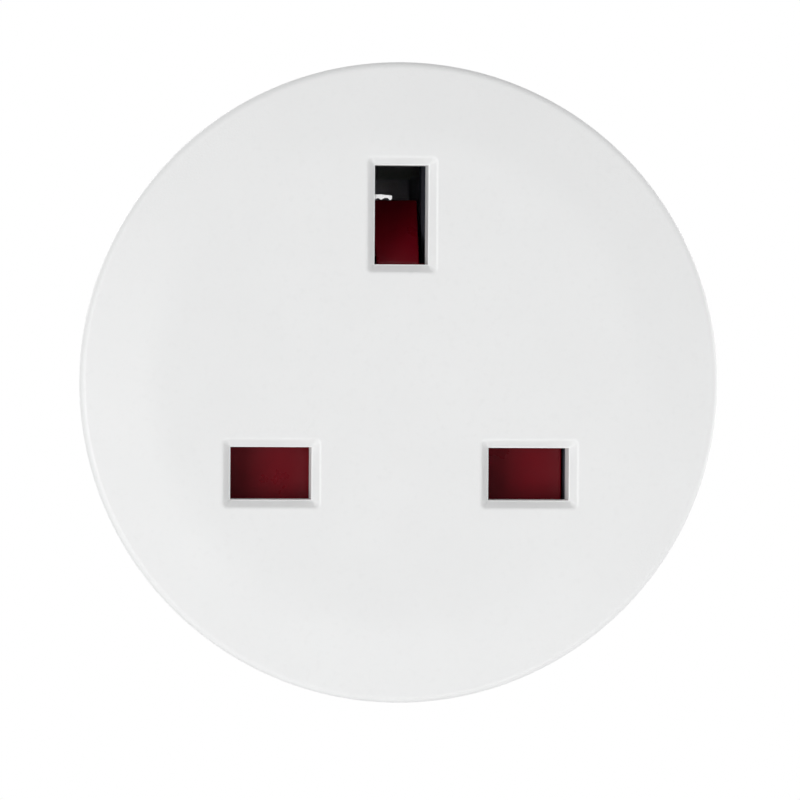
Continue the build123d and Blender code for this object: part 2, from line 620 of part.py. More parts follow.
def earth_strap():
    """The bent strap whose legs are the side earth contacts of the nose."""
    leg_z = STRAP_POCKET_FLOOR + STRAP_LIFT + STRAP_THICKNESS / 2
    bridge_y = BRIDGE_Y + STRAP_THICKNESS / 2
    hook_y = -STRAP_HOOK_INSET
    upper = [
        (hook_y, leg_z - STRAP_HOOK_DEPTH),
        (hook_y, leg_z),
        ((hook_y + SHOULDER_Y) / 2, leg_z + STRAP_BOW),
        (SHOULDER_Y, leg_z),
        (bridge_y, leg_z),
    ]
    lower = [(y, -z) for y, z in reversed(upper)]
    path = FilletPolyline(*upper, *lower, radius=STRAP_BEND)
    profile = trace(path, line_width=STRAP_THICKNESS)
    strap = extrude(Plane.YZ * profile, amount=STRAP_WIDTH / 2, both=True)
    rivet_z = EARTH_HOLE_RISE - EARTH_RIVET_DROP
    strap -= rod(RIVET_RADIUS + RIVET_CLEARANCE, BRIDGE_Y - CUT, INNER_Y + CUT, 0, EARTH_HOLE_RISE)
    strap -= rod(EARTH_RIVET_RADIUS + RIVET_CLEARANCE, BRIDGE_Y - CUT, INNER_Y + CUT, 0, rivet_z)
    return strap


def earth_sleeve():
    """The split sleeve for a socket's earth pin, riveted through the strap."""
    outer = SLEEVE_BORE_RADIUS + SLEEVE_WALL
    bore_end = -SLEEVE_INSET - SLEEVE_BORE_DEPTH
    rivet_y = BRIDGE_Y - CONTACT_THICKNESS
    sleeve = turned(
        [
            (0, rivet_y - RIVET_HEAD_HEIGHT),
            (RIVET_HEAD_RADIUS, rivet_y - RIVET_HEAD_HEIGHT),
            (RIVET_HEAD_RADIUS, rivet_y),
            (RIVET_RADIUS, rivet_y),
            (RIVET_RADIUS, INNER_Y),
            (outer, INNER_Y),
            (outer, -SLEEVE_INSET),
            (SLEEVE_BORE_RADIUS, -SLEEVE_INSET),
            (SLEEVE_BORE_RADIUS, bore_end),
            (0, bore_end),
        ],
        z=EARTH_HOLE_RISE,
    )
    slit = strip(SLEEVE_SLIT, EARTH_HOLE_RISE - 2 * outer, EARTH_HOLE_RISE + 2 * outer)
    return sleeve - slab(slit, -SLEEVE_INSET - SLEEVE_SLIT_DEPTH, CUT)


def earth_rivet():
    """The second rivet through the strap and the earth contact's tail."""
    front = BRIDGE_Y - CONTACT_THICKNESS
    return turned(
        [
            (0, front - EARTH_RIVET_HEAD_HEIGHT),
            (EARTH_RIVET_HEAD_RADIUS, front - EARTH_RIVET_HEAD_HEIGHT),
            (EARTH_RIVET_HEAD_RADIUS, front),
            (EARTH_RIVET_RADIUS, front),
            (EARTH_RIVET_RADIUS, INNER_Y),
            (EARTH_RIVET_HEAD_RADIUS, INNER_Y),
            (EARTH_RIVET_HEAD_RADIUS, INNER_Y + EARTH_RIVET_HEAD_HEIGHT),
            (0, INNER_Y + EARTH_RIVET_HEAD_HEIGHT),
        ],
        z=EARTH_HOLE_RISE - EARTH_RIVET_DROP,
    )


def housing_screw():
    """A pan-head screw with a cross recess, its threads left off."""
    head_y = SEAT_Y + SCREW_HEAD_HEIGHT
    screw = turned(
        [
            (0, head_y),
            (SCREW_HEAD_RADIUS, head_y),
            (SCREW_HEAD_RADIUS, SEAT_Y),
            (SCREW_CORE_RADIUS, SEAT_Y),
            (SCREW_CORE_RADIUS, SEAT_Y - SCREW_LENGTH),
            (0, SEAT_Y - SCREW_LENGTH),
        ]
    )
    screw = fillet(circle_edge(screw, SCREW_HEAD_RADIUS, head_y), SCREW_HEAD_HEIGHT / 2)
    cross = Rectangle(SCREW_CROSS_LENGTH, SCREW_CROSS_WIDTH)
    cross += Rectangle(SCREW_CROSS_WIDTH, SCREW_CROSS_LENGTH)
    screw -= slab(cross, head_y - SCREW_CROSS_DEPTH, head_y + CUT)
    return Pos(SCREW_CIRCLE, 0, 0) * screw


live_contact = side_contact()
live_clip = contact_clip()
live_pin = plug_pin()
nodes = {
    "front_cover": front_cover(),
    "rear_housing": rear_housing(),
    "contact_cover": contact_cover(),
    "shutter": shutter(),
    "shutter_spring": shutter_spring(),
    "live_contact": live_contact,
    "neutral_contact": mirror(live_contact, Plane.YZ),
    "earth_contact": earth_contact(),
    "live_contact_clip": live_clip,
    "neutral_contact_clip": mirror(live_clip, Plane.YZ),
    "live_pin": live_pin,
    "neutral_pin": mirror(live_pin, Plane.YZ),
    "earth_strap": earth_strap(),
    "earth_sleeve": earth_sleeve(),
    "earth_rivet": earth_rivet(),
}
screws = around(housing_screw(), SCREW_COUNT, SCREW_FIRST_ANGLE)
for number, screw in enumerate(screws, start=1):
    nodes[f"housing_screw_{number}"] = screw

os.makedirs("parts", exist_ok=True)
for name, solid in nodes.items():
    export_step(solid, f"parts/{name}.step")
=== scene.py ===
from math import atan2, cos, pi, radians, sin, sqrt, tan

import bmesh
import bpy
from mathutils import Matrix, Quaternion, Vector


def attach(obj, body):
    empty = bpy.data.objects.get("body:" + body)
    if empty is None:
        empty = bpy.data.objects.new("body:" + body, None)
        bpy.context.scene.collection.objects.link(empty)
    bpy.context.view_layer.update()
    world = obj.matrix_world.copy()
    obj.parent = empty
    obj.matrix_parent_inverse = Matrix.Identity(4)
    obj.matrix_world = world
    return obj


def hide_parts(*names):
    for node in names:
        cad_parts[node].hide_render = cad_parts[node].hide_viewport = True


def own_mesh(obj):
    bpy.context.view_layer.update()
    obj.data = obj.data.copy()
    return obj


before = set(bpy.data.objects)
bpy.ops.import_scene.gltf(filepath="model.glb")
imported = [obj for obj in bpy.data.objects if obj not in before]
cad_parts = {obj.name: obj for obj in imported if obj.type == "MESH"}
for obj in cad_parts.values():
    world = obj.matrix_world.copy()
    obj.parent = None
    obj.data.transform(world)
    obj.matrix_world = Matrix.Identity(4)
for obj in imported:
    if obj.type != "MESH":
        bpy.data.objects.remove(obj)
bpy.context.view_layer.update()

# Sizes are in millimetres, as in the model's source, and finished meshes are scaled to metres.
MM = 0.001

# Places along Y, from the socket face to the plug's end
FACE_Y = -44.5
PLATE_Y = -42.0
COLLAR_Y = -40.8
RAMP_Y = -40.6
SHUTTER_Y = -39.0
SPRING_Y = -38.2
LIP_Y = -38.0
SHUTTER_BACK_Y = -37.4
COVER_PLATE_Y = -37.2
SEAM_Y = -36.5
LEDGE_Y = -35.2
BOSS_Y = -32.5
INNER_Y = -19.5
SHOULDER_Y = -17.5
PIN_END_Y = 19.0

# How far a cut or an added form reaches past the surface that it meets
CUT = 1.0

# Body
COVER_RADIUS = 27.5
COVER_SEAM_RADIUS = 27.25
COVER_INNER_RADIUS = 25.3
HOUSING_RADIUS = 27.2
SHOULDER_RADIUS = HOUSING_RADIUS - (SHOULDER_Y - SEAM_Y) * tan(radians(2))
CAVITY_RADIUS = 25.0
CAVITY_FLOOR_RADIUS = SHOULDER_RADIUS - 2.2
LIP_RADIUS = 26.2
REBATE_RADIUS = 26.3
FLAT_RADIUS = 21.0
RING_DROP = 0.68
RING_BEND = 24.0
EDGE_FILLET = 0.65
COVER_SIDE = 1.6
LIP_CLEARANCE = 0.1
SHOULDER_FILLET = 1.8
SEAM_EDGE = 0.22

# Socket apertures: middle (x, z) and size
SIDE_X = 11.1
LINE_Z = -7.8
EARTH_Z = 14.4
SIDE_SLOT = (6.95, 4.5)
EARTH_SLOT = (4.6, 8.5)
APERTURES = [(-SIDE_X, LINE_Z, SIDE_SLOT), (SIDE_X, LINE_Z, SIDE_SLOT), (0.0, EARTH_Z, EARTH_SLOT)]
CHAMFER = 0.7
CHAMFER_DEPTH = 0.75
CHAMFER_OUTER_EDGE = 0.35
CHAMFER_LAND = 0.08
HOLE_CORNER = 0.04
RIM_CORNER = 0.4
RIM_CLEAR = (0.3, -0.03)
COLLAR_WALL = 1.2
COLLAR_CORNER = 0.4
COLLAR_CUT = 0.5
RAIL_X = 4.8
RAIL_WIDTH = 1.2
RAIL_BOTTOM_Z = -17.0
SLIDE_GAP = 0.2

# Bosses, ribs and screws
SCREW_CIRCLE = 21.6
SCREW_ANGLES = (30, 150, 270)
RIB_ANGLES = (0, 60, 120, 180, 240, 300)
RIB_INNER_RADIUS = 22.6
RIB_THICKNESS = 1.6
RIB_ROOT = 0.3
RIB_LIP_GAP = 0.2
CONTACT_COVER_CLEARANCE = 0.25
HOLD_DOWN_CLEARANCE = 0.1
BOSS_RADIUS = 2.8
PILOT_RADIUS = 1.2
PILOT_END_GAP = 1.5
PASSING_RADIUS = 1.55
COUNTERBORE_RADIUS = 2.7
COUNTERBORE_EDGE = 0.3
COUNTERBORE_RISE = 0.05
COUNTERBORE_WALL = 1.0
COUNTERBORE_FLOOR = 2.0
SCREW_SEAT_Y = -20.1
SCREW_HEAD_RADIUS = 2.5
SCREW_HEAD_HEIGHT = 1.7
SCREW_HEAD_EDGE = 0.85
SCREW_HEAD_BEVEL = 0.1
SCREW_HEAD_ROOT = 0.2
SCREW_RADIUS = 1.15
SCREW_THREAD = 0.3
SCREW_PITCH = 1.25
SCREW_LENGTH = 18.0
SCREW_POINT = 2.0
SCREW_TIP_SHARE = 0.35
THREAD_SHARPNESS = 5
THREAD_STEPS = 16
THREAD_SIDES = 32

# The screw's cross recess: depth, half length and half width of its arms
CROSS_RECESS = ((-0.5, 1.6, 0.36), (0.0, 1.45, 0.32), (0.75, 0.75, 0.24), (1.05, 0.35, 0.2))

# Plug nose
NOSE_RADIUS = 18.2
NOSE_DRAFT = tan(radians(1))
NOSE_FILLET = 1.2
GROOVE_FLOOR = 16.2
GROOVE_WIDTH = 6.0
POCKET_FLOOR = 15.4
POCKET_WIDTH = 8.4
NOSE_CORNER = 0.35
NOSE_CORNER_SHARE = 0.42
NOSE_LEVELS = (SHOULDER_Y - 0.9, SHOULDER_Y, -13.0, -9.0, -5.0, -2.5)
NOSE_ARC_STEPS = 40
NOSE_ARC_MARGIN = 0.045
NOSE_FILLET_STEPS = 10

# Pins, earth sleeve and strap
PIN_X = 9.5
PIN_RADIUS = 2.4
PIN_SHAFT_RADIUS = 2.6
PIN_TIP_FILLET = 1.9
PIN_HOLE_RADIUS = 2.65
PIN_HOLE_EDGE = 0.2
PIN_FLANGE_RADIUS = 3.2
PIN_FLANGE_Y = -21.0
PIN_RIVET_Y = -21.8
PIN_HEAD_Y = -22.6
PIN_RIVET_RADIUS = 1.5
PIN_HEAD_RADIUS = 2.5
SLEEVE_Z = 10.0
SLEEVE_BORE_RADIUS = 2.45
SLEEVE_OUTER_RADIUS = 3.05
SLEEVE_Y = -1.5
SLEEVE_CLEARANCE = 0.1
SLEEVE_MOUTH_RADIUS = 2.75
SLEEVE_BORE_DEPTH = 15.0
SLEEVE_SLIT_HALF = 0.3
SLEEVE_SLIT_DEPTH = 8.5
SLEEVE_SLIT_REACH = 6
SLEEVE_RIVET_Y = -20.9
SLEEVE_HEAD_Y = -21.7
MOUTH_CHAMFER = 0.5
RIVET_Z = 4.4
RIVET_TAIL_RADIUS = 2.1
RIVET_TAIL_DEPTH = 0.8
BRIDGE_Y = -20.1
STRAP_Z = 16.1
STRAP_WIDTH = 6.5
STRAP_THICKNESS = 0.6
STRAP_EDGE = 0.16
STRAP_HOOK_Y = -2.2
STRAP_HOOK_DEPTH = 2.2
STRAP_BEND = 0.65
STRAP_BOW = 0.5
STRAP_BOW_RADIUS = 12.0
STRAP_SHOULDER_RADIUS = 3.0
STRAP_SIDE_CLEARANCE = 0.15
STRAP_CLEARANCE = 0.2
STRAP_HOOK_POCKET = 2.4
STRAP_SLEEVE_HOLE = 1.55
STRAP_RIVET_HOLE = 1.25

# Shutter and spring
BLADE_REACH = 14.5
BLADE_TOP_Z = -4.9
BLADE_BOTTOM_Z = -10.7
STEM_HALF = 3.0
FOOT_HALF = 6.0
FOOT_TOP_Z = -0.5
STEM_FILLET = 1.2
NOTCH_HALF = 2.2
SPRING_TOP_Z = -3.5
SPRING_SEAT_Z = -17.0
RAMP_HALF = 1.95
RAMP_FOOT_SCALE = 0.95
RAMP_TIP_SCALE = 1.08
RAMP_BOTTOM_Z = 4.5
RAMP_FOOT_Z = 10.3
RAMP_TOP_Z = 15.8
RAMP_TIP = 0.6
RAMP_THICKNESS = 1.3
SHUTTER_EDGE = 0.16
SPIGOT_RADIUS = 0.8
SPIGOT_LENGTH = 2.0
SPIGOT_EDGE = 0.2
SPIGOT_ROOT = 0.3
SPRING_RADIUS = 1.6
SPRING_WIRE = 0.36
SPRING_WIRE_SIDES = 14
SPRING_TURNS = 9
SPRING_TURN_STEPS = 40
SPRING_CLOSED_SHARE = 0.09
SPRING_SEAT_GAP = 0.01

# Flash of moulding in the earth aperture, drawn to the outline of a small white glint there, so it
# is partly a painted highlight made as white plastic: its (x, z) outline, its middle, and (depth,
# share of its size) from front to back
FLASH_AND_GLINT_OUTLINE = [
    (-2.45, 16.14), (-1.75, 16.16), (-1.35, 16.1), (-1.02, 16.1), (-0.78, 16.04),
    (-0.8, 15.76), (-0.9, 15.68), (-1.04, 15.82), (-1.38, 15.86), (-1.72, 15.68),
    (-2.0, 15.84), (-2.2, 15.74), (-2.45, 15.68),
]
FLASH_AND_GLINT_MIDDLE = Vector((-1.9, 15.92))
FLASH_AND_GLINT_LEVELS = ((0.98, 0.88), (1.02, 0.97), (1.1, 1.0), (1.3, 1.0), (1.36, 0.9))

# Points round a turned form
ROUND = 256

# Angles in degrees: edges sharper than these are shaded sharp or bevelled, and faces flatter
# than the last are merged before a bevel
SHARP_ANGLE = 35
BEVEL_ANGLE = 30
DRESSED_ANGLE = 40
FLAT_ANGLE = 0.5

# Points nearer than the first are merged before a bevel, and edges shorter than the second go
DOUBLED = 0.002
DEGENERATE = 0.001


def rounded(points, closed=True, steps=6):
    """Corners (a, b) or (a, b, radius), each radius drawn as an arc."""
    drawn = []
    for index, point in enumerate(points):
        corner = Vector(point[:2])
        radius = point[2] if len(point) > 2 else 0
        end = not closed and index in (0, len(points) - 1)
        if end or not radius:
            drawn.append(tuple(corner))
            continue
        back = (Vector(points[index - 1][:2]) - corner).normalized()
        ahead = (Vector(points[(index + 1) % len(points)][:2]) - corner).normalized()
        half = back.angle(ahead) / 2
        centre = corner + (back + ahead).normalized() * radius / sin(half)
        first = corner + back * radius / tan(half) - centre
        last = corner + ahead * radius / tan(half) - centre
        side = 1 if first.x * last.y > first.y * last.x else -1
        start = atan2(first.y, first.x)
        for step in range(steps + 1):
            angle = start + side * (pi - 2 * half) * step / steps
            drawn.append((centre.x + radius * cos(angle), centre.y + radius * sin(angle)))
    return drawn


def skin(rings):
    """A closed mesh through rings of equally many points, capped at both ends."""
    form = bmesh.new()
    rows = [[form.verts.new(point) for point in ring] for ring in rings]
    count = len(rows[0])
    for near, far in zip(rows, rows[1:]):
        for index in range(count):
            following = (index + 1) % count
            form.faces.new((near[index], near[following], far[following], far[index]))
    form.faces.new(rows[0])
    form.faces.new(rows[-1])
    bmesh.ops.recalc_face_normals(form, faces=form.faces)
    mesh = bpy.data.meshes.new("skin")
    form.to_mesh(mesh)
    form.free()
    return mesh


def lathe(profile, x=0.0, z=0.0, count=ROUND):
    """A body turned about Y from (radius, y) points, flat at both ends."""
    turns = [2 * pi * step / count for step in range(count)]
    return skin([[(x + r * cos(t), y, z + r * sin(t)) for t in turns] for r, y in profile])


def rod(radius, near, far, x=0.0, z=0.0, count=64):
    """A round bar along Y."""
    return lathe([(radius, near), (radius, far)], x, z, count)


def prism(outline, near, far, along="Y"):
    """An outline made solid along Y from its (x, z) points, or along X from its (y, z) points."""
    if along == "X":
        return skin([[(level, a, b) for a, b in outline] for level in (near, far)])
    return skin([[(a, level, b) for a, b in outline] for level in (near, far)])


def block(left, right, near, far, low, high):
    """A box between these limits."""
    return prism([(left, low), (right, low), (right, high), (left, high)], near, far)


def turned(mesh, angle):
    """A copy of the mesh, turned about Y by this many degrees from X towards Z."""
    copy = mesh.copy()
    c = cos(radians(angle))
    s = sin(radians(angle))
    for vertex in copy.vertices:
        x, y, z = vertex.co
        vertex.co = (x * c - z * s, y, x * s + z * c)
    return copy


def joined(meshes):
    """One mesh with all of these in it."""
    form = bmesh.new()
    for mesh in meshes:
        form.from_mesh(mesh)
    whole = bpy.data.meshes.new("joined")
    form.to_mesh(whole)
    form.free()
    return whole


def modified(mesh, kind, **settings):
    """The mesh as a modifier leaves it."""
    holder = bpy.data.objects.new("holder", mesh)
    bpy.context.scene.collection.objects.link(holder)
    modifier = holder.modifiers.new(kind, kind)
    for setting, value in settings.items():
        setattr(modifier, setting, value)
    depsgraph = bpy.context.evaluated_depsgraph_get()
    result = bpy.data.meshes.new_from_object(holder.evaluated_get(depsgraph))
    bpy.data.objects.remove(holder)
    return result


def combined(mesh, others, operation):
    """The mesh with the others added to it or cut from it."""
    tool = bpy.data.objects.new("tool", joined(others))
    bpy.context.scene.collection.objects.link(tool)
    result = modified(mesh, "BOOLEAN", operation=operation, solver="EXACT", object=tool)
    bpy.data.objects.remove(tool)
    return result


def merged(mesh):
    """The mesh with doubled points merged and flat neighbours dissolved."""
    form = bmesh.new()
    form.from_mesh(mesh)
    bmesh.ops.remove_doubles(form, verts=form.verts, dist=DOUBLED)
    bmesh.ops.dissolve_degenerate(form, edges=form.edges, dist=DEGENERATE)
    flat = radians(FLAT_ANGLE)
    bmesh.ops.dissolve_limit(form, angle_limit=flat, verts=form.verts, edges=form.edges)
    form.to_mesh(mesh)
    form.free()
    return mesh


def softened(mesh, width):
    """The mesh with its sharp edges rounded."""
    return modified(
        merged(mesh),
        "BEVEL",
        width=width,
        segments=3,
        limit_method="ANGLE",
        angle_limit=radians(BEVEL_ANGLE),
    )


def piece(name, mesh, finish, nodes, body="body"):
    """A finished object in metres that stands for CAD nodes and rides on a body."""
    for vertex in mesh.vertices:
        vertex.co *= MM
    mesh.shade_smooth()
    mesh.set_sharp_from_angle(angle=radians(SHARP_ANGLE))
    mesh.materials.clear()
    mesh.materials.append(finish)
    obj = bpy.data.objects.new(name, mesh)
    bpy.context.scene.collection.objects.link(obj)
    weighted = obj.modifiers.new("weighted", "WEIGHTED_NORMAL")
    weighted.keep_sharp = True
    weighted.weight = 80
    if nodes:
        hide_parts(*nodes)
    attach(obj, body)
    return obj


# Finishes

# Scales of the noises that all plastics or all metals share, in features per metre, and the
# specks' scale as a share of their grain's
FLOW = 90
WAVES = 160
GLOSS = 420
STAIN = 260
DENTS = 900
SPECK_SHARE = 0.37


def new_finish(name, colour, roughness, metallic=0.0):
    """A material, its node tree and its shader."""
    finish = bpy.data.materials.new(name)
    finish.use_nodes = True
    tree = finish.node_tree
    shader = tree.nodes["Principled BSDF"]
    shader.inputs["Base Color"].default_value = (*colour, 1)
    shader.inputs["Roughness"].default_value = roughness
    shader.inputs["Metallic"].default_value = metallic
    return finish, tree, shader


def noise(tree, scale, detail, stretch=(1, 1, 1)):
    """A noise value over the object's own coordinates, in features per metre."""
    place = tree.nodes.new("ShaderNodeTexCoord")
    mapping = tree.nodes.new("ShaderNodeMapping")
    mapping.inputs["Scale"].default_value = stretch
    texture = tree.nodes.new("ShaderNodeTexNoise")
    texture.inputs["Scale"].default_value = scale
    texture.inputs["Detail"].default_value = detail
    tree.links.new(place.outputs["Object"], mapping.inputs["Vector"])
    tree.links.new(mapping.outputs["Vector"], texture.inputs["Vector"])
    return texture.outputs["Fac"]


def ranged(tree, value, low, high, start=0.3, end=0.7):
    """A value moved from start..end to low..high."""
    node = tree.nodes.new("ShaderNodeMapRange")
    node.inputs["From Min"].default_value = start
    node.inputs["From Max"].default_value = end
    node.inputs["To Min"].default_value = low
    node.inputs["To Max"].default_value = high
    tree.links.new(value, node.inputs["Value"])
    return node.outputs["Result"]


def blended(tree, share, first, second):
    """The colour between two, by a share from 0 to 1. Each is a colour or a node's output."""
    node = tree.nodes.new("ShaderNodeMix")
    node.data_type = "RGBA"
    tree.links.new(share, node.inputs[0])
    for socket, colour in ((node.inputs[6], first), (node.inputs[7], second)):
        if isinstance(colour, tuple):
            socket.default_value = (*colour, 1)
        else:
            tree.links.new(colour, socket)
    return node.outputs[2]


def larger(tree, first, second):
    """The larger of two values."""
    node = tree.nodes.new("ShaderNodeMath")
    node.operation = "MAXIMUM"
    tree.links.new(first, node.inputs[0])
    tree.links.new(second, node.inputs[1])
    return node.outputs[0]


def bumped(tree, height, distance, strength=1.0, under=None):
    """A normal from a height, over another normal if there is one."""
    node = tree.nodes.new("ShaderNodeBump")
    node.inputs["Strength"].default_value = strength
    node.inputs["Distance"].default_value = distance
    tree.links.new(height, node.inputs["Height"])
    if under is not None:
        tree.links.new(under, node.inputs["Normal"])
    return node.outputs["Normal"]


def shade(colour, factor):
    """A colour made lighter or darker."""
    return tuple(min(1.0, channel * factor) for channel in colour)


def moulded(name, colour, roughness, grain, depth, mottle=0.985, spread=0.05):
    """A moulded plastic with a fine grain, flow mottling and uneven gloss."""
    finish, tree, shader = new_finish(name, colour, roughness)
    flow = ranged(tree, noise(tree, FLOW, 2), 0, 1)
    tint = blended(tree, flow, shade(colour, mottle), colour)
    specks = ranged(tree, noise(tree, grain * SPECK_SHARE, 2), 0, 1, 0.55, 0.75)
    tint = blended(tree, specks, tint, shade(colour, 1 - (1 - mottle) * 1.5))
    tree.links.new(tint, shader.inputs["Base Color"])
    gloss = ranged(tree, noise(tree, GLOSS, 4), roughness - spread, roughness + spread)
    tree.links.new(gloss, shader.inputs["Roughness"])
    waves = bumped(tree, noise(tree, WAVES, 2), 4e-5, 0.35)
    fine = bumped(tree, noise(tree, grain, 3), depth, 1.0, waves)
    tree.links.new(fine, shader.inputs["Normal"])
    return finish


def worked(name, colour, roughness, stretch, depth, tarnish):
    """A drawn, rolled or turned metal with lines along or round it and faint tarnish."""
    finish, tree, shader = new_finish(name, colour, roughness, 1.0)
    lines = noise(tree, 1.0, 4, stretch)
    stain = ranged(tree, noise(tree, STAIN, 5), 0, 1, 0.42, 0.72)
    tint = blended(tree, stain, colour, tarnish)
    streak = ranged(tree, lines, 0.93, 1.0, 0.35, 0.65)
    value = tree.nodes.new("ShaderNodeVectorMath")
    value.operation = "SCALE"
    tree.links.new(tint, value.inputs[0])
    tree.links.new(streak, value.inputs["Scale"])
    tree.links.new(value.outputs["Vector"], shader.inputs["Base Color"])
    gloss = ranged(tree, lines, roughness - 0.08, roughness + 0.08)
    tree.links.new(gloss, shader.inputs["Roughness"])
    dents = bumped(tree, noise(tree, DENTS, 2), 1.5e-5, 0.2)
    tree.links.new(bumped(tree, lines, depth, 0.6, dents), shader.inputs["Normal"])
    return finish


white = moulded("white_plastic", (0.868, 0.872, 0.872), 0.42, 5200, 1.1e-5)
housing_white = moulded("housing_plastic", (0.862, 0.865, 0.862), 0.5, 3600, 2.4e-5)
black = moulded("black_plastic", (0.022, 0.025, 0.042), 0.55, 4200, 2.0e-5, 0.85)
red = moulded("red_plastic", (0.2, 0.002, 0.0095), 0.3, 2600, 0.4e-5, 0.96, 0.04)
red.node_tree.nodes["Principled BSDF"].inputs["Specular IOR Level"].default_value = 0.35

# Noise stretched into fine lines: features per metre along X, Y and Z
ACROSS = (400, 9000, 400)
ALONG_Y = (9000, 500, 9000)
ALONG_Z = (6000, 6000, 900)
EVEN = (2500, 2500, 2500)
nickel = worked("pin_plating", (0.68, 0.65, 0.61), 0.2, ACROSS, 0.6e-5, (0.62, 0.59, 0.54))
strap_metal = worked("strap_metal", (0.66, 0.64, 0.6), 0.26, ALONG_Y, 0.6e-5, (0.61, 0.585, 0.54))
sleeve_metal = worked("sleeve_metal", (0.66, 0.64, 0.6), 0.24, ACROSS, 0.6e-5, (0.61, 0.585, 0.54))
brass = worked("contact_brass", (0.7, 0.52, 0.27), 0.32, ALONG_Y, 0.8e-5, (0.42, 0.27, 0.14))
tinned = worked("tinned_brass", (0.8, 0.8, 0.85), 0.36, ALONG_Y, 0.8e-5, (0.66, 0.63, 0.62))
steel = worked("spring_steel", (0.5, 0.5, 0.5), 0.3, ALONG_Z, 0.5e-5, (0.32, 0.3, 0.28))
zinc = worked("screw_steel", (0.64, 0.65, 0.67), 0.3, EVEN, 0.6e-5, (0.55, 0.52, 0.42))


# Front cover

def corners(x, z, half_width, half_height, radius):
    """The corners of a rounded rectangle round (x, z)."""
    left, right, low, high = x - half_width, x + half_width, z - half_height, z + half_height
    return [(left, low, radius), (right, low, radius), (right, high, radius), (left, high, radius)]


def aperture_cutter(x, z, size):
    """The hole for one flat pin, with its bevelled rim and softened edges.

    Its profile's points are (margin round the hole, depth behind the face). The first point only
    sets the line of the face, which the rim's rounding meets, and from where that rounding begins
    the cutter stands clear of the face.
    """
    half_width = size[0] / 2
    half_height = size[1] / 2
    profile = rounded(
        [
            (CHAMFER + 3.0, -0.004),
            (CHAMFER, 0, CHAMFER_OUTER_EDGE),
            (CHAMFER_LAND, CHAMFER_DEPTH - 0.01, 0.04),
            (0, CHAMFER_DEPTH, 0.05),
            (0, COLLAR_Y - FACE_Y + COLLAR_CUT),
        ],
        closed=False,
        steps=8,
    )
    profile[0] = (profile[1][0] + RIM_CLEAR[0], profile[1][1] + RIM_CLEAR[1])
    rings = []
    for margin, depth in profile:
        radius = HOLE_CORNER + RIM_CORNER * min(1.0, margin / CHAMFER)
        outline = rounded(corners(x, z, half_width + margin, half_height + margin, radius), steps=5)
        rings.append([(a, FACE_Y + depth, b) for a, b in outline])
    return skin(rings)


def radial_rib(points):
    """A rib that stands out along X, from its (x, y) points."""
    half = RIB_THICKNESS / 2
    return skin([[(x, y, level) for x, y in points] for level in (-half, half)])


def front_cover():
    """The face with its apertures, and the collars, rails, ribs and bosses behind it."""
    outside = [
        (0, FACE_Y),
        (FLAT_RADIUS, FACE_Y, RING_BEND),
        (COVER_RADIUS, FACE_Y + RING_DROP, EDGE_FILLET),
        (COVER_RADIUS, FACE_Y + COVER_SIDE),
        (COVER_SEAM_RADIUS, SEAM_Y, SEAM_EDGE),
    ]
    inside = [
        (REBATE_RADIUS, SEAM_Y, 0.1),
        (REBATE_RADIUS, LIP_Y - LIP_CLEARANCE),
        (COVER_INNER_RADIUS, LIP_Y - LIP_CLEARANCE, 0.07),
        (COVER_INNER_RADIUS, PLATE_Y, 0.5),
        (0, PLATE_Y),
    ]
    cover = lathe(rounded(outside + inside, closed=False, steps=12)[1:-1])

    extras = []
    for x, z, (width, height) in APERTURES:
        collar = corners(x, z, width / 2 + COLLAR_WALL, height / 2 + COLLAR_WALL, COLLAR_CORNER)
        extras.append(prism(rounded(collar), PLATE_Y - CUT, COLLAR_Y))
    rail_y = SHUTTER_Y - SLIDE_GAP
    for x in (-RAIL_X, RAIL_X):
        left = x - RAIL_WIDTH / 2
        right = x + RAIL_WIDTH / 2
        extras.append(block(left, right, PLATE_Y - CUT, rail_y, RAIL_BOTTOM_Z, SPRING_TOP_Z))
    plate_radius = CAVITY_RADIUS - CONTACT_COVER_CLEARANCE
    hold_down = radial_rib(
        [
            (RIB_INNER_RADIUS, PLATE_Y - CUT),
            (COVER_INNER_RADIUS + RIB_ROOT, PLATE_Y - CUT),
            (COVER_INNER_RADIUS + RIB_ROOT, LIP_Y - RIB_LIP_GAP),
            (plate_radius, LIP_Y - RIB_LIP_GAP),
            (plate_radius, COVER_PLATE_Y - HOLD_DOWN_CLEARANCE),
            (RIB_INNER_RADIUS, COVER_PLATE_Y - HOLD_DOWN_CLEARANCE),
        ]
    )
    extras += [turned(hold_down, angle) for angle in RIB_ANGLES]
    boss = rod(BOSS_RADIUS, PLATE_Y - CUT, BOSS_Y, SCREW_CIRCLE)
    extras += [turned(boss, angle) for angle in SCREW_ANGLES]
    cover = combined(cover, extras, "UNION")

    cuts = [aperture_cutter(x, z, size) for x, z, size in APERTURES]
    pilot = rod(PILOT_RADIUS, PLATE_Y + PILOT_END_GAP, BOSS_Y + CUT, SCREW_CIRCLE, count=48)
    cuts += [turned(pilot, angle) for angle in SCREW_ANGLES]
    return combined(cover, cuts, "DIFFERENCE")


# Rear housing

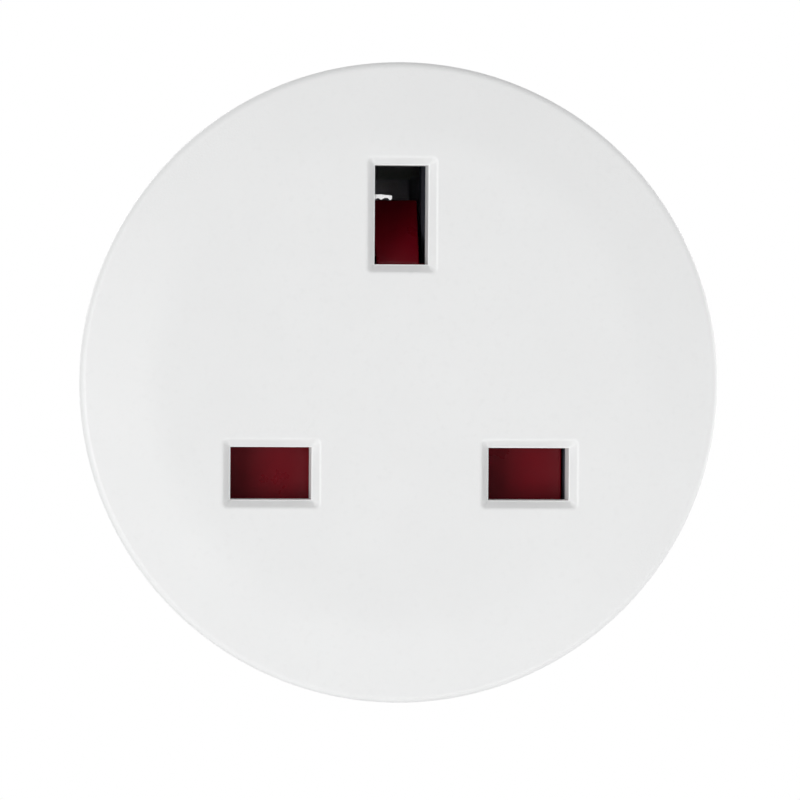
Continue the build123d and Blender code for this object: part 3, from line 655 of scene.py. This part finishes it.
def nose_ring(radius, y):
    """The nose's outline at this radius, with its side grooves and strap pockets."""
    points = []
    sides = ((0, GROOVE_FLOOR, GROOVE_WIDTH), (90, POCKET_FLOOR, POCKET_WIDTH))
    sides += tuple((angle + 180, floor, width) for angle, floor, width in sides)
    for order, (angle, floor, width) in enumerate(sides):
        half = width / 2
        rim = sqrt(radius * radius - half * half)
        corner = min(NOSE_CORNER, NOSE_CORNER_SHARE * (rim - floor))
        c = cos(radians(angle))
        s = sin(radians(angle))
        for u, v in ((rim, -half), (floor, -half), (floor, half), (rim, half)):
            points.append((u * c - v * s, u * s + v * c, corner))
        next_half = sides[(order + 1) % len(sides)][2] / 2
        next_rim = sqrt(radius**2 - next_half**2)
        start = radians(angle) + atan2(half, rim) + NOSE_ARC_MARGIN
        end = radians(angle + 90) - atan2(next_half, next_rim) - NOSE_ARC_MARGIN
        for step in range(NOSE_ARC_STEPS + 1):
            turn = start + (end - start) * step / NOSE_ARC_STEPS
            points.append((radius * cos(turn), radius * sin(turn)))
    return [(x, y, z) for x, z in rounded(points, steps=5)]


def nose():
    """The plug's round nose, lofted along Y with its draft and its rounded end."""
    rings = []
    for y in NOSE_LEVELS:
        rings.append(nose_ring(NOSE_RADIUS - (y - SHOULDER_Y) * NOSE_DRAFT, y))
    end = NOSE_RADIUS + SHOULDER_Y * NOSE_DRAFT
    for step in range(NOSE_FILLET_STEPS + 1):
        angle = pi / 2 * step / NOSE_FILLET_STEPS
        radius = end - NOSE_FILLET + NOSE_FILLET * cos(angle)
        rings.append(nose_ring(radius, -NOSE_FILLET + NOSE_FILLET * sin(angle)))
    return skin(rings)


def chamfered_hole(radius, near, edge, x, z):
    """A cutter for a hole in the nose's end, with a small bevel at its mouth."""
    points = [(radius, near), (radius, -edge), (radius + edge + CUT, CUT)]
    return lathe(points, x, z, 96)


def rear_housing():
    """The deep shell with the plug's nose, seats for the screws, and the metal's holes."""
    profile = rounded(
        [
            (0, SHOULDER_Y),
            (SHOULDER_RADIUS, SHOULDER_Y, SHOULDER_FILLET),
            (HOUSING_RADIUS, SEAM_Y, SEAM_EDGE),
            (LIP_RADIUS, SEAM_Y),
            (LIP_RADIUS, LIP_Y, 0.15),
            (CAVITY_RADIUS, LIP_Y, 0.15),
            (CAVITY_RADIUS, SEAM_Y),
            (CAVITY_FLOOR_RADIUS, INNER_Y, 0.4),
            (0, INNER_Y),
        ],
        closed=False,
        steps=10,
    )[1:-1]
    housing = lathe(profile)

    ledge = radial_rib(
        [
            (RIB_INNER_RADIUS, LEDGE_Y),
            (CAVITY_RADIUS + RIB_ROOT, LEDGE_Y),
            (CAVITY_FLOOR_RADIUS + RIB_ROOT, INNER_Y + RIB_ROOT),
            (RIB_INNER_RADIUS, INNER_Y + RIB_ROOT),
        ]
    )
    extras = [turned(ledge, angle) for angle in RIB_ANGLES]
    foot_y = SCREW_SEAT_Y - COUNTERBORE_FLOOR
    foot = rounded(
        [
            (0, BOSS_Y),
            (BOSS_RADIUS, BOSS_Y, 0.2),
            (BOSS_RADIUS, foot_y, 0.5),
            (COUNTERBORE_RADIUS + COUNTERBORE_WALL, foot_y, 0.3),
            (COUNTERBORE_RADIUS + COUNTERBORE_WALL, INNER_Y + RIB_ROOT),
        ],
        closed=False,
    )[1:]
    extras += [turned(lathe(foot, SCREW_CIRCLE, 0, 64), angle) for angle in SCREW_ANGLES]
    housing = combined(housing, extras, "UNION")
    housing = combined(housing, [nose()], "UNION")

    mouth_radius = COUNTERBORE_RADIUS + COUNTERBORE_EDGE + COUNTERBORE_RISE
    counterbore = lathe(
        [
            (PASSING_RADIUS, BOSS_Y - CUT),
            (PASSING_RADIUS, SCREW_SEAT_Y),
            (COUNTERBORE_RADIUS, SCREW_SEAT_Y),
            (COUNTERBORE_RADIUS, SHOULDER_Y - COUNTERBORE_EDGE),
            (mouth_radius, SHOULDER_Y + COUNTERBORE_RISE),
        ],
        SCREW_CIRCLE,
        0,
        96,
    )
    cuts = [turned(counterbore, angle) for angle in SCREW_ANGLES]
    for x in (-PIN_X, PIN_X):
        cuts.append(chamfered_hole(PIN_HOLE_RADIUS, INNER_Y - CUT, PIN_HOLE_EDGE, x, 0))
    cuts.append(
        lathe(
            [
                (SLEEVE_OUTER_RADIUS + SLEEVE_CLEARANCE, INNER_Y - CUT),
                (SLEEVE_OUTER_RADIUS + SLEEVE_CLEARANCE, SLEEVE_Y + SLEEVE_CLEARANCE),
                (SLEEVE_MOUTH_RADIUS, SLEEVE_Y + SLEEVE_CLEARANCE),
                (SLEEVE_MOUTH_RADIUS, -MOUTH_CHAMFER),
                (SLEEVE_MOUTH_RADIUS + MOUTH_CHAMFER + CUT, CUT),
            ],
            0,
            SLEEVE_Z,
            96,
        )
    )
    cuts.append(rod(RIVET_TAIL_RADIUS, INNER_Y - CUT, INNER_Y + RIVET_TAIL_DEPTH, 0, RIVET_Z))
    housing = combined(housing, cuts, "DIFFERENCE")

    slots = []
    half = STRAP_WIDTH / 2 + STRAP_SIDE_CLEARANCE
    leg_outer = STRAP_Z + STRAP_THICKNESS / 2 + STRAP_CLEARANCE
    hook_low = STRAP_Z - STRAP_THICKNESS / 2 - STRAP_HOOK_POCKET
    hook_near = STRAP_HOOK_Y - STRAP_THICKNESS / 2 - STRAP_CLEARANCE
    hook_far = STRAP_HOOK_Y + STRAP_THICKNESS / 2 + STRAP_CLEARANCE
    for side in (-1, 1):
        low, high = sorted((side * POCKET_FLOOR, side * leg_outer))
        slots.append(block(-half, half, INNER_Y - CUT, SHOULDER_Y + STRAP_CLEARANCE, low, high))
        low, high = sorted((side * hook_low, side * (POCKET_FLOOR + CUT)))
        slots.append(block(-half, half, hook_near, hook_far, low, high))
    return combined(housing, slots, "DIFFERENCE")


# Shutter and spring

def shutter():
    """The red shutter: two blades, a stem, the ramp and the spring's spigot."""
    half_outline = [
        (BLADE_REACH, BLADE_BOTTOM_Z),
        (BLADE_REACH, BLADE_TOP_Z),
        (FOOT_HALF, BLADE_TOP_Z, STEM_FILLET),
        (FOOT_HALF, FOOT_TOP_Z, STEM_FILLET),
        (STEM_HALF, FOOT_TOP_Z, STEM_FILLET),
        (STEM_HALF, RAMP_FOOT_Z, 0.3),
    ]
    left = [(-point[0], *point[1:]) for point in reversed(half_outline)]
    notch = [
        (-NOTCH_HALF, BLADE_BOTTOM_Z),
        (-NOTCH_HALF, SPRING_TOP_Z, 0.3),
        (NOTCH_HALF, SPRING_TOP_Z, 0.3),
        (NOTCH_HALF, BLADE_BOTTOM_Z),
    ]
    plate = prism(rounded(half_outline + left + notch), SHUTTER_Y, SHUTTER_BACK_Y)

    rise = RAMP_TOP_Z - RAMP_FOOT_Z
    tip_y = RAMP_Y + rise + RAMP_TIP
    back_z = RAMP_TOP_Z - RAMP_THICKNESS
    outline = [
        (RAMP_Y, RAMP_BOTTOM_Z),
        (RAMP_Y, RAMP_FOOT_Z, 0.5),
        (RAMP_Y + rise, RAMP_TOP_Z),
        (tip_y, RAMP_TOP_Z),
        (tip_y, back_z),
        (SHUTTER_BACK_Y, back_z - (tip_y - SHUTTER_BACK_Y)),
        (SHUTTER_BACK_Y, RAMP_BOTTOM_Z),
    ]
    ramp = prism(rounded(outline), -RAMP_HALF, RAMP_HALF, "X")
    for vertex in ramp.vertices:
        share = min(1.0, (vertex.co.y - RAMP_Y) / rise)
        vertex.co.x *= RAMP_FOOT_SCALE + (RAMP_TIP_SCALE - RAMP_FOOT_SCALE) * share
    body = combined(plate, [ramp], "UNION")
    body = softened(body, SHUTTER_EDGE)

    spigot_end = SPRING_TOP_Z - SPIGOT_LENGTH
    turns = [2 * pi * step / 32 for step in range(32)]
    spigot = skin(
        [
            [(r * cos(t), SPRING_Y + r * sin(t), z) for t in turns]
            for r, z in (
                (SPIGOT_RADIUS, SPRING_TOP_Z + SPIGOT_ROOT),
                (SPIGOT_RADIUS, spigot_end + SPIGOT_EDGE),
                (SPIGOT_RADIUS - SPIGOT_EDGE, spigot_end),
            )
        ]
    )
    return combined(body, [spigot], "UNION")


def aperture_flash_and_glint():
    """The thin torn flash of moulding that stands out from the earth aperture's left wall, drawn to
    a small white glint's outline: partly a real piece, partly a painted highlight.
    """
    rings = []
    for depth, share in FLASH_AND_GLINT_LEVELS:
        ring = []
        for point in FLASH_AND_GLINT_OUTLINE:
            place = FLASH_AND_GLINT_MIDDLE + (Vector(point) - FLASH_AND_GLINT_MIDDLE) * share
            ring.append((place.x, FACE_Y + depth, place.y))
        rings.append(ring)
    return skin(rings)


def shutter_spring():
    """The coil spring, its end turns laid flat against their seats."""
    low = SPRING_SEAT_Z + SPRING_WIRE / 2 + SPRING_SEAT_GAP
    high = SPRING_TOP_Z - SPRING_WIRE / 2 - SPRING_SEAT_GAP
    coil = SPRING_RADIUS - SPRING_WIRE / 2
    closed = SPRING_CLOSED_SHARE
    solid_height = SPRING_WIRE * SPRING_TURNS
    steps = SPRING_TURNS * SPRING_TURN_STEPS
    centres = []
    for step in range(steps + 1):
        share = step / steps
        middle = min(max((share - closed) / (1 - 2 * closed), 0), 1)
        rise = (high - low - 2 * solid_height * closed) * middle
        ends = solid_height * (min(share, closed) + max(share - (1 - closed), 0))
        angle = 2 * pi * SPRING_TURNS * share
        place = (coil * cos(angle), SPRING_Y + coil * sin(angle), low + rise + ends)
        centres.append(Vector(place))
    rings = []
    for index, centre in enumerate(centres):
        before = centres[max(index - 1, 0)]
        after = centres[min(index + 1, steps)]
        ahead = (after - before).normalized()
        out = Vector((centre.x, centre.y - SPRING_Y, 0)).normalized()
        up = ahead.cross(out).normalized()
        ring = []
        for k in range(SPRING_WIRE_SIDES):
            t = 2 * pi * k / SPRING_WIRE_SIDES
            ring.append(centre + (out * cos(t) + up * sin(t)) * SPRING_WIRE / 2)
        rings.append(ring)
    return skin(rings)


# Metal parts of the plug

def plug_pin(x):
    """A turned plug pin with its rounded tip, shaft, flange and riveted end."""
    profile = rounded(
        [
            (0, PIN_HEAD_Y),
            (PIN_HEAD_RADIUS, PIN_HEAD_Y, 0.4),
            (PIN_HEAD_RADIUS, PIN_RIVET_Y, 0.1),
            (PIN_RIVET_RADIUS, PIN_RIVET_Y),
            (PIN_RIVET_RADIUS, PIN_FLANGE_Y),
            (PIN_FLANGE_RADIUS, PIN_FLANGE_Y, 0.2),
            (PIN_FLANGE_RADIUS, INNER_Y, 0.1),
            (PIN_SHAFT_RADIUS, INNER_Y),
            (PIN_SHAFT_RADIUS, 0, 0.12),
            (PIN_RADIUS, 0),
            (PIN_RADIUS, PIN_END_Y, PIN_TIP_FILLET),
            (0, PIN_END_Y),
        ],
        closed=False,
        steps=14,
    )[1:-1]
    return lathe(profile, x, 0, 128)


def earth_sleeve():
    """The split sleeve that grips the socket's earth pin."""
    end = SLEEVE_Y - SLEEVE_BORE_DEPTH
    profile = rounded(
        [
            (0, SLEEVE_HEAD_Y),
            (PIN_HEAD_RADIUS, SLEEVE_HEAD_Y, 0.3),
            (PIN_HEAD_RADIUS, SLEEVE_RIVET_Y),
            (PIN_RIVET_RADIUS, SLEEVE_RIVET_Y),
            (PIN_RIVET_RADIUS, INNER_Y),
            (SLEEVE_OUTER_RADIUS, INNER_Y, 0.15),
            (SLEEVE_OUTER_RADIUS, SLEEVE_Y, 0.15),
            (SLEEVE_BORE_RADIUS, SLEEVE_Y, 0.3),
            (SLEEVE_BORE_RADIUS, end),
            (0, end),
        ],
        closed=False,
    )[1:-1]
    sleeve = lathe(profile, 0, SLEEVE_Z, 128)
    low = SLEEVE_Z - SLEEVE_SLIT_REACH
    high = SLEEVE_Z + SLEEVE_SLIT_REACH
    slit_end = SLEEVE_Y - SLEEVE_SLIT_DEPTH
    slit = block(-SLEEVE_SLIT_HALF, SLEEVE_SLIT_HALF, slit_end, CUT, low, high)
    return combined(sleeve, [slit], "DIFFERENCE")


def earth_strap():
    """The bent spring strap whose legs are the side earth contacts."""
    upper = [
        (STRAP_HOOK_Y, STRAP_Z - STRAP_HOOK_DEPTH),
        (STRAP_HOOK_Y, STRAP_Z, STRAP_BEND),
        ((STRAP_HOOK_Y + SHOULDER_Y) / 2, STRAP_Z + STRAP_BOW, STRAP_BOW_RADIUS),
        (SHOULDER_Y, STRAP_Z, STRAP_SHOULDER_RADIUS),
        (BRIDGE_Y + STRAP_THICKNESS / 2, STRAP_Z, STRAP_BEND),
    ]
    lower = [(point[0], -point[1], *point[2:]) for point in reversed(upper)]
    path = [Vector(point) for point in rounded(upper + lower, closed=False, steps=8)]
    section = rounded(corners(0, 0, STRAP_WIDTH / 2, STRAP_THICKNESS / 2, STRAP_EDGE), steps=4)
    rings = []
    for index, point in enumerate(path):
        before = path[max(index - 1, 0)]
        after = path[min(index + 1, len(path) - 1)]
        ahead = (after - before).normalized()
        side = Vector((-ahead.y, ahead.x))
        ring = []
        for x, lift in section:
            place = point + side * lift
            ring.append((x, place.x, place.y))
        rings.append(ring)
    strap = skin(rings)
    holes = []
    for radius, z in ((STRAP_SLEEVE_HOLE, SLEEVE_Z), (STRAP_RIVET_HOLE, RIVET_Z)):
        holes.append(rod(radius, BRIDGE_Y - CUT, INNER_Y + CUT, 0, z))
    return combined(strap, holes, "DIFFERENCE")


def housing_screw():
    """A pan-head screw with a cross recess and a rolled thread."""
    head_y = SCREW_SEAT_Y + SCREW_HEAD_HEIGHT
    head = lathe(
        rounded(
            [
                (0, SCREW_SEAT_Y - SCREW_HEAD_ROOT),
                (SCREW_HEAD_RADIUS - SCREW_HEAD_BEVEL, SCREW_SEAT_Y),
                (SCREW_HEAD_RADIUS, SCREW_SEAT_Y + SCREW_HEAD_BEVEL),
                (SCREW_HEAD_RADIUS, head_y, SCREW_HEAD_EDGE),
                (0, head_y),
            ],
            closed=False,
            steps=10,
        )[1:-1],
        SCREW_CIRCLE,
        0,
        96,
    )
    crosses = []
    for depth, length, width in CROSS_RECESS:
        cross = []
        for quarter in range(4):
            c = cos(quarter * pi / 2)
            s = sin(quarter * pi / 2)
            for u, v in ((length, -width), (length, width), (width, width)):
                cross.append((SCREW_CIRCLE + u * c - v * s, head_y - depth, u * s + v * c))
        crosses.append(cross)
    head = combined(head, [skin(crosses)], "DIFFERENCE")

    rings = []
    steps = int(SCREW_LENGTH / SCREW_PITCH * THREAD_STEPS)
    for step in range(steps + 1):
        y = SCREW_SEAT_Y - SCREW_LENGTH * step / steps
        taper = min(1.0, SCREW_LENGTH * (1 - step / steps) / SCREW_POINT)
        share = SCREW_TIP_SHARE + (1 - SCREW_TIP_SHARE) * taper
        ring = []
        for k in range(THREAD_SIDES):
            t = 2 * pi * k / THREAD_SIDES
            phase = ((SCREW_SEAT_Y - y) / SCREW_PITCH - k / THREAD_SIDES) % 1.0
            crest = max(0.0, 1 - abs(phase - 0.5) * THREAD_SHARPNESS)
            radius = (SCREW_RADIUS + SCREW_THREAD * crest) * share
            ring.append((SCREW_CIRCLE + radius * cos(t), y, radius * sin(t)))
        rings.append(ring)
    return joined([head, skin(rings)])


# Pieces that stand for CAD nodes, and the flash that is partly a painted highlight

cover = piece("front_cover_face", front_cover(), white, ["front_cover"])
housing = piece("rear_housing_shell", rear_housing(), housing_white, ["rear_housing"])
slider = piece("shutter_slider", shutter(), red, ["shutter"], "shutter")
# A white sliver in the earth aperture: partly a flash of moulding, partly a painted highlight
flash_and_glint = piece("earth_aperture_flash_and_glint", aperture_flash_and_glint(), white, [])
coil = piece("shutter_coil", shutter_spring(), steel, ["shutter_spring"])
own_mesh(coil)
for side, x in (("live", PIN_X), ("neutral", -PIN_X)):
    pin = piece(f"{side}_plug_pin", plug_pin(x), nickel, [f"{side}_pin"])
strap = piece("earth_side_strap", earth_strap(), strap_metal, ["earth_strap"])
sleeve = piece("earth_split_sleeve", earth_sleeve(), sleeve_metal, ["earth_sleeve"])
screw = housing_screw()
for number, angle in enumerate(SCREW_ANGLES, start=1):
    fastener = piece(f"screw_{number}", turned(screw, angle), zinc, [f"housing_screw_{number}"])


def dressed(node, finish, width):
    """A CAD node kept as it is, with softened edges and a finish."""
    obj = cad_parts[node]
    weld = obj.modifiers.new("weld", "WELD")
    weld.merge_threshold = 2e-6
    bevel = obj.modifiers.new("bevel", "BEVEL")
    bevel.width = width * MM
    bevel.segments = 2
    bevel.limit_method = "ANGLE"
    bevel.angle_limit = radians(DRESSED_ANGLE)
    for slot in obj.material_slots:
        slot.material = finish
    if not obj.material_slots:
        obj.data.materials.append(finish)


dressed("contact_cover", black, 0.12)
dressed("earth_contact", tinned, 0.08)
for node in ("live_contact", "neutral_contact", "earth_rivet"):
    dressed(node, brass, 0.08)
for node in ("live_contact_clip", "neutral_contact_clip"):
    dressed(node, steel, 0.05)


# Floor, in metres: its place, its radius, and where it begins to fade and has faded

FLOOR_PLACE = (0, -0.012, -0.11)
FLOOR_RADIUS = 0.45
FLOOR_FADE = (0.06, 0.2)
FLOOR_COLOUR = (0.9, 0.9, 0.9)
FLOOR_GLOW = 0.25


def floor():
    """A pale floor below the part, which fades into the white backdrop."""
    finish, tree, shader = new_finish("floor", FLOOR_COLOUR, 0.9)
    shader.inputs["Specular IOR Level"].default_value = 0.1
    place = tree.nodes.new("ShaderNodeTexCoord")
    length = tree.nodes.new("ShaderNodeVectorMath")
    length.operation = "LENGTH"
    tree.links.new(place.outputs["Object"], length.inputs[0])
    fade = ranged(tree, length.outputs["Value"], 1, 0, *FLOOR_FADE)
    tree.links.new(fade, shader.inputs["Alpha"])
    rays = tree.nodes.new("ShaderNodeLightPath")
    seen = larger(tree, rays.outputs["Is Camera Ray"], rays.outputs["Is Glossy Ray"])
    seen = larger(tree, seen, rays.outputs["Is Transmission Ray"])
    glow = ranged(tree, seen, 0, FLOOR_GLOW, 0, 1)
    shader.inputs["Emission Color"].default_value = (1, 1, 1, 1)
    tree.links.new(glow, shader.inputs["Emission Strength"])
    mesh = bpy.data.meshes.new("floor")
    form = bmesh.new()
    bmesh.ops.create_circle(form, cap_ends=True, segments=96, radius=FLOOR_RADIUS)
    form.to_mesh(mesh)
    form.free()
    mesh.materials.append(finish)
    obj = bpy.data.objects.new("floor", mesh)
    obj.location = FLOOR_PLACE
    bpy.context.scene.collection.objects.link(obj)


floor()


# Light: the world's level on the part, its level in gloss from the front, the bounds along Y
# between which that rises to 1, and the point that the lamps aim at, in metres

FILL = 0.46
FRONT_GLOSS = 0.03
GLOSS_BOUNDS = (-0.85, -0.1)
LAMP_AIM = Vector((0, -0.02, 0))


def blended_value(tree, share, first, second):
    """The value between two, by a share from 0 to 1. Each is a number or a node's output."""
    node = tree.nodes.new("ShaderNodeMix")
    tree.links.new(share, node.inputs[0])
    for socket, value in ((node.inputs[2], first), (node.inputs[3], second)):
        if isinstance(value, float):
            socket.default_value = value
        else:
            tree.links.new(value, socket)
    return node.outputs[0]


def lamp(name, place, size, power):
    """A square soft lamp that points at the part, with its size in metres and power in watts."""
    light = bpy.data.lights.new(name, "AREA")
    light.size = size
    light.energy = power
    obj = bpy.data.objects.new(name, light)
    obj.location = place
    aim = LAMP_AIM - obj.location
    obj.rotation_euler = aim.to_track_quat("-Z", "Y").to_euler()
    bpy.context.scene.collection.objects.link(obj)


lamp("front_left", (-0.45, -0.8, -0.08), 0.36, 2.7)
lamp("left", (-0.7, -0.6, -0.12), 0.36, 1.05)
lamp("near_right", (0.1, -0.24, -0.19), 0.16, 0.23)
lamp("side_right", (0.8, 0.06, -0.02), 0.4, 2.2)
lamp("back_left", (-0.5, 0.8, 0.4), 0.5, 2.4)
lamp("back_right", (0.6, 0.7, 0.1), 0.5, 1.4)


def studio():
    """White to the camera, soft to the part, and to gloss a white room with a dark front."""
    world = bpy.data.worlds.new("studio")
    world.use_nodes = True
    bpy.context.scene.world = world
    tree = world.node_tree
    rays = tree.nodes.new("ShaderNodeLightPath")
    seen = larger(tree, rays.outputs["Is Camera Ray"], rays.outputs["Is Transmission Ray"])
    place = tree.nodes.new("ShaderNodeTexCoord")
    parts = tree.nodes.new("ShaderNodeSeparateXYZ")
    tree.links.new(place.outputs["Generated"], parts.inputs[0])
    room = ranged(tree, parts.outputs["Y"], FRONT_GLOSS, 1.0, *GLOSS_BOUNDS)
    shining = blended_value(tree, rays.outputs["Is Glossy Ray"], FILL, room)
    level = blended_value(tree, seen, shining, 1.0)
    tree.links.new(level, tree.nodes["Background"].inputs["Strength"])
    tree.nodes["Background"].inputs["Color"].default_value = (1, 1, 1, 1)


studio()

# Camera: the point it looks at on the face, its distance in metres and its angles in degrees

CAMERA_TARGET = (-0.1, FACE_Y, -1.46)
CAMERA_DISTANCE = 0.5
CAMERA_AZIMUTH = -5
CAMERA_ELEVATION = 1
CAMERA_ROLL = 0.35
CAMERA_LENS = 262.7

lens = bpy.data.cameras.new("camera")
lens.lens = CAMERA_LENS
lens.sensor_width = 36
camera = bpy.data.objects.new("camera", lens)
target = Vector(CAMERA_TARGET) * MM
turn = radians(CAMERA_AZIMUTH)
lift = radians(CAMERA_ELEVATION)
direction = Vector((sin(turn) * cos(lift), -cos(turn) * cos(lift), sin(lift)))
camera.location = target + direction * CAMERA_DISTANCE
roll = Quaternion((0, 0, 1), radians(CAMERA_ROLL))
camera.rotation_euler = ((-direction).to_track_quat("-Z", "Y") @ roll).to_euler()
bpy.context.scene.collection.objects.link(camera)
bpy.context.scene.camera = camera
bpy.context.scene.view_settings.view_transform = "Standard"
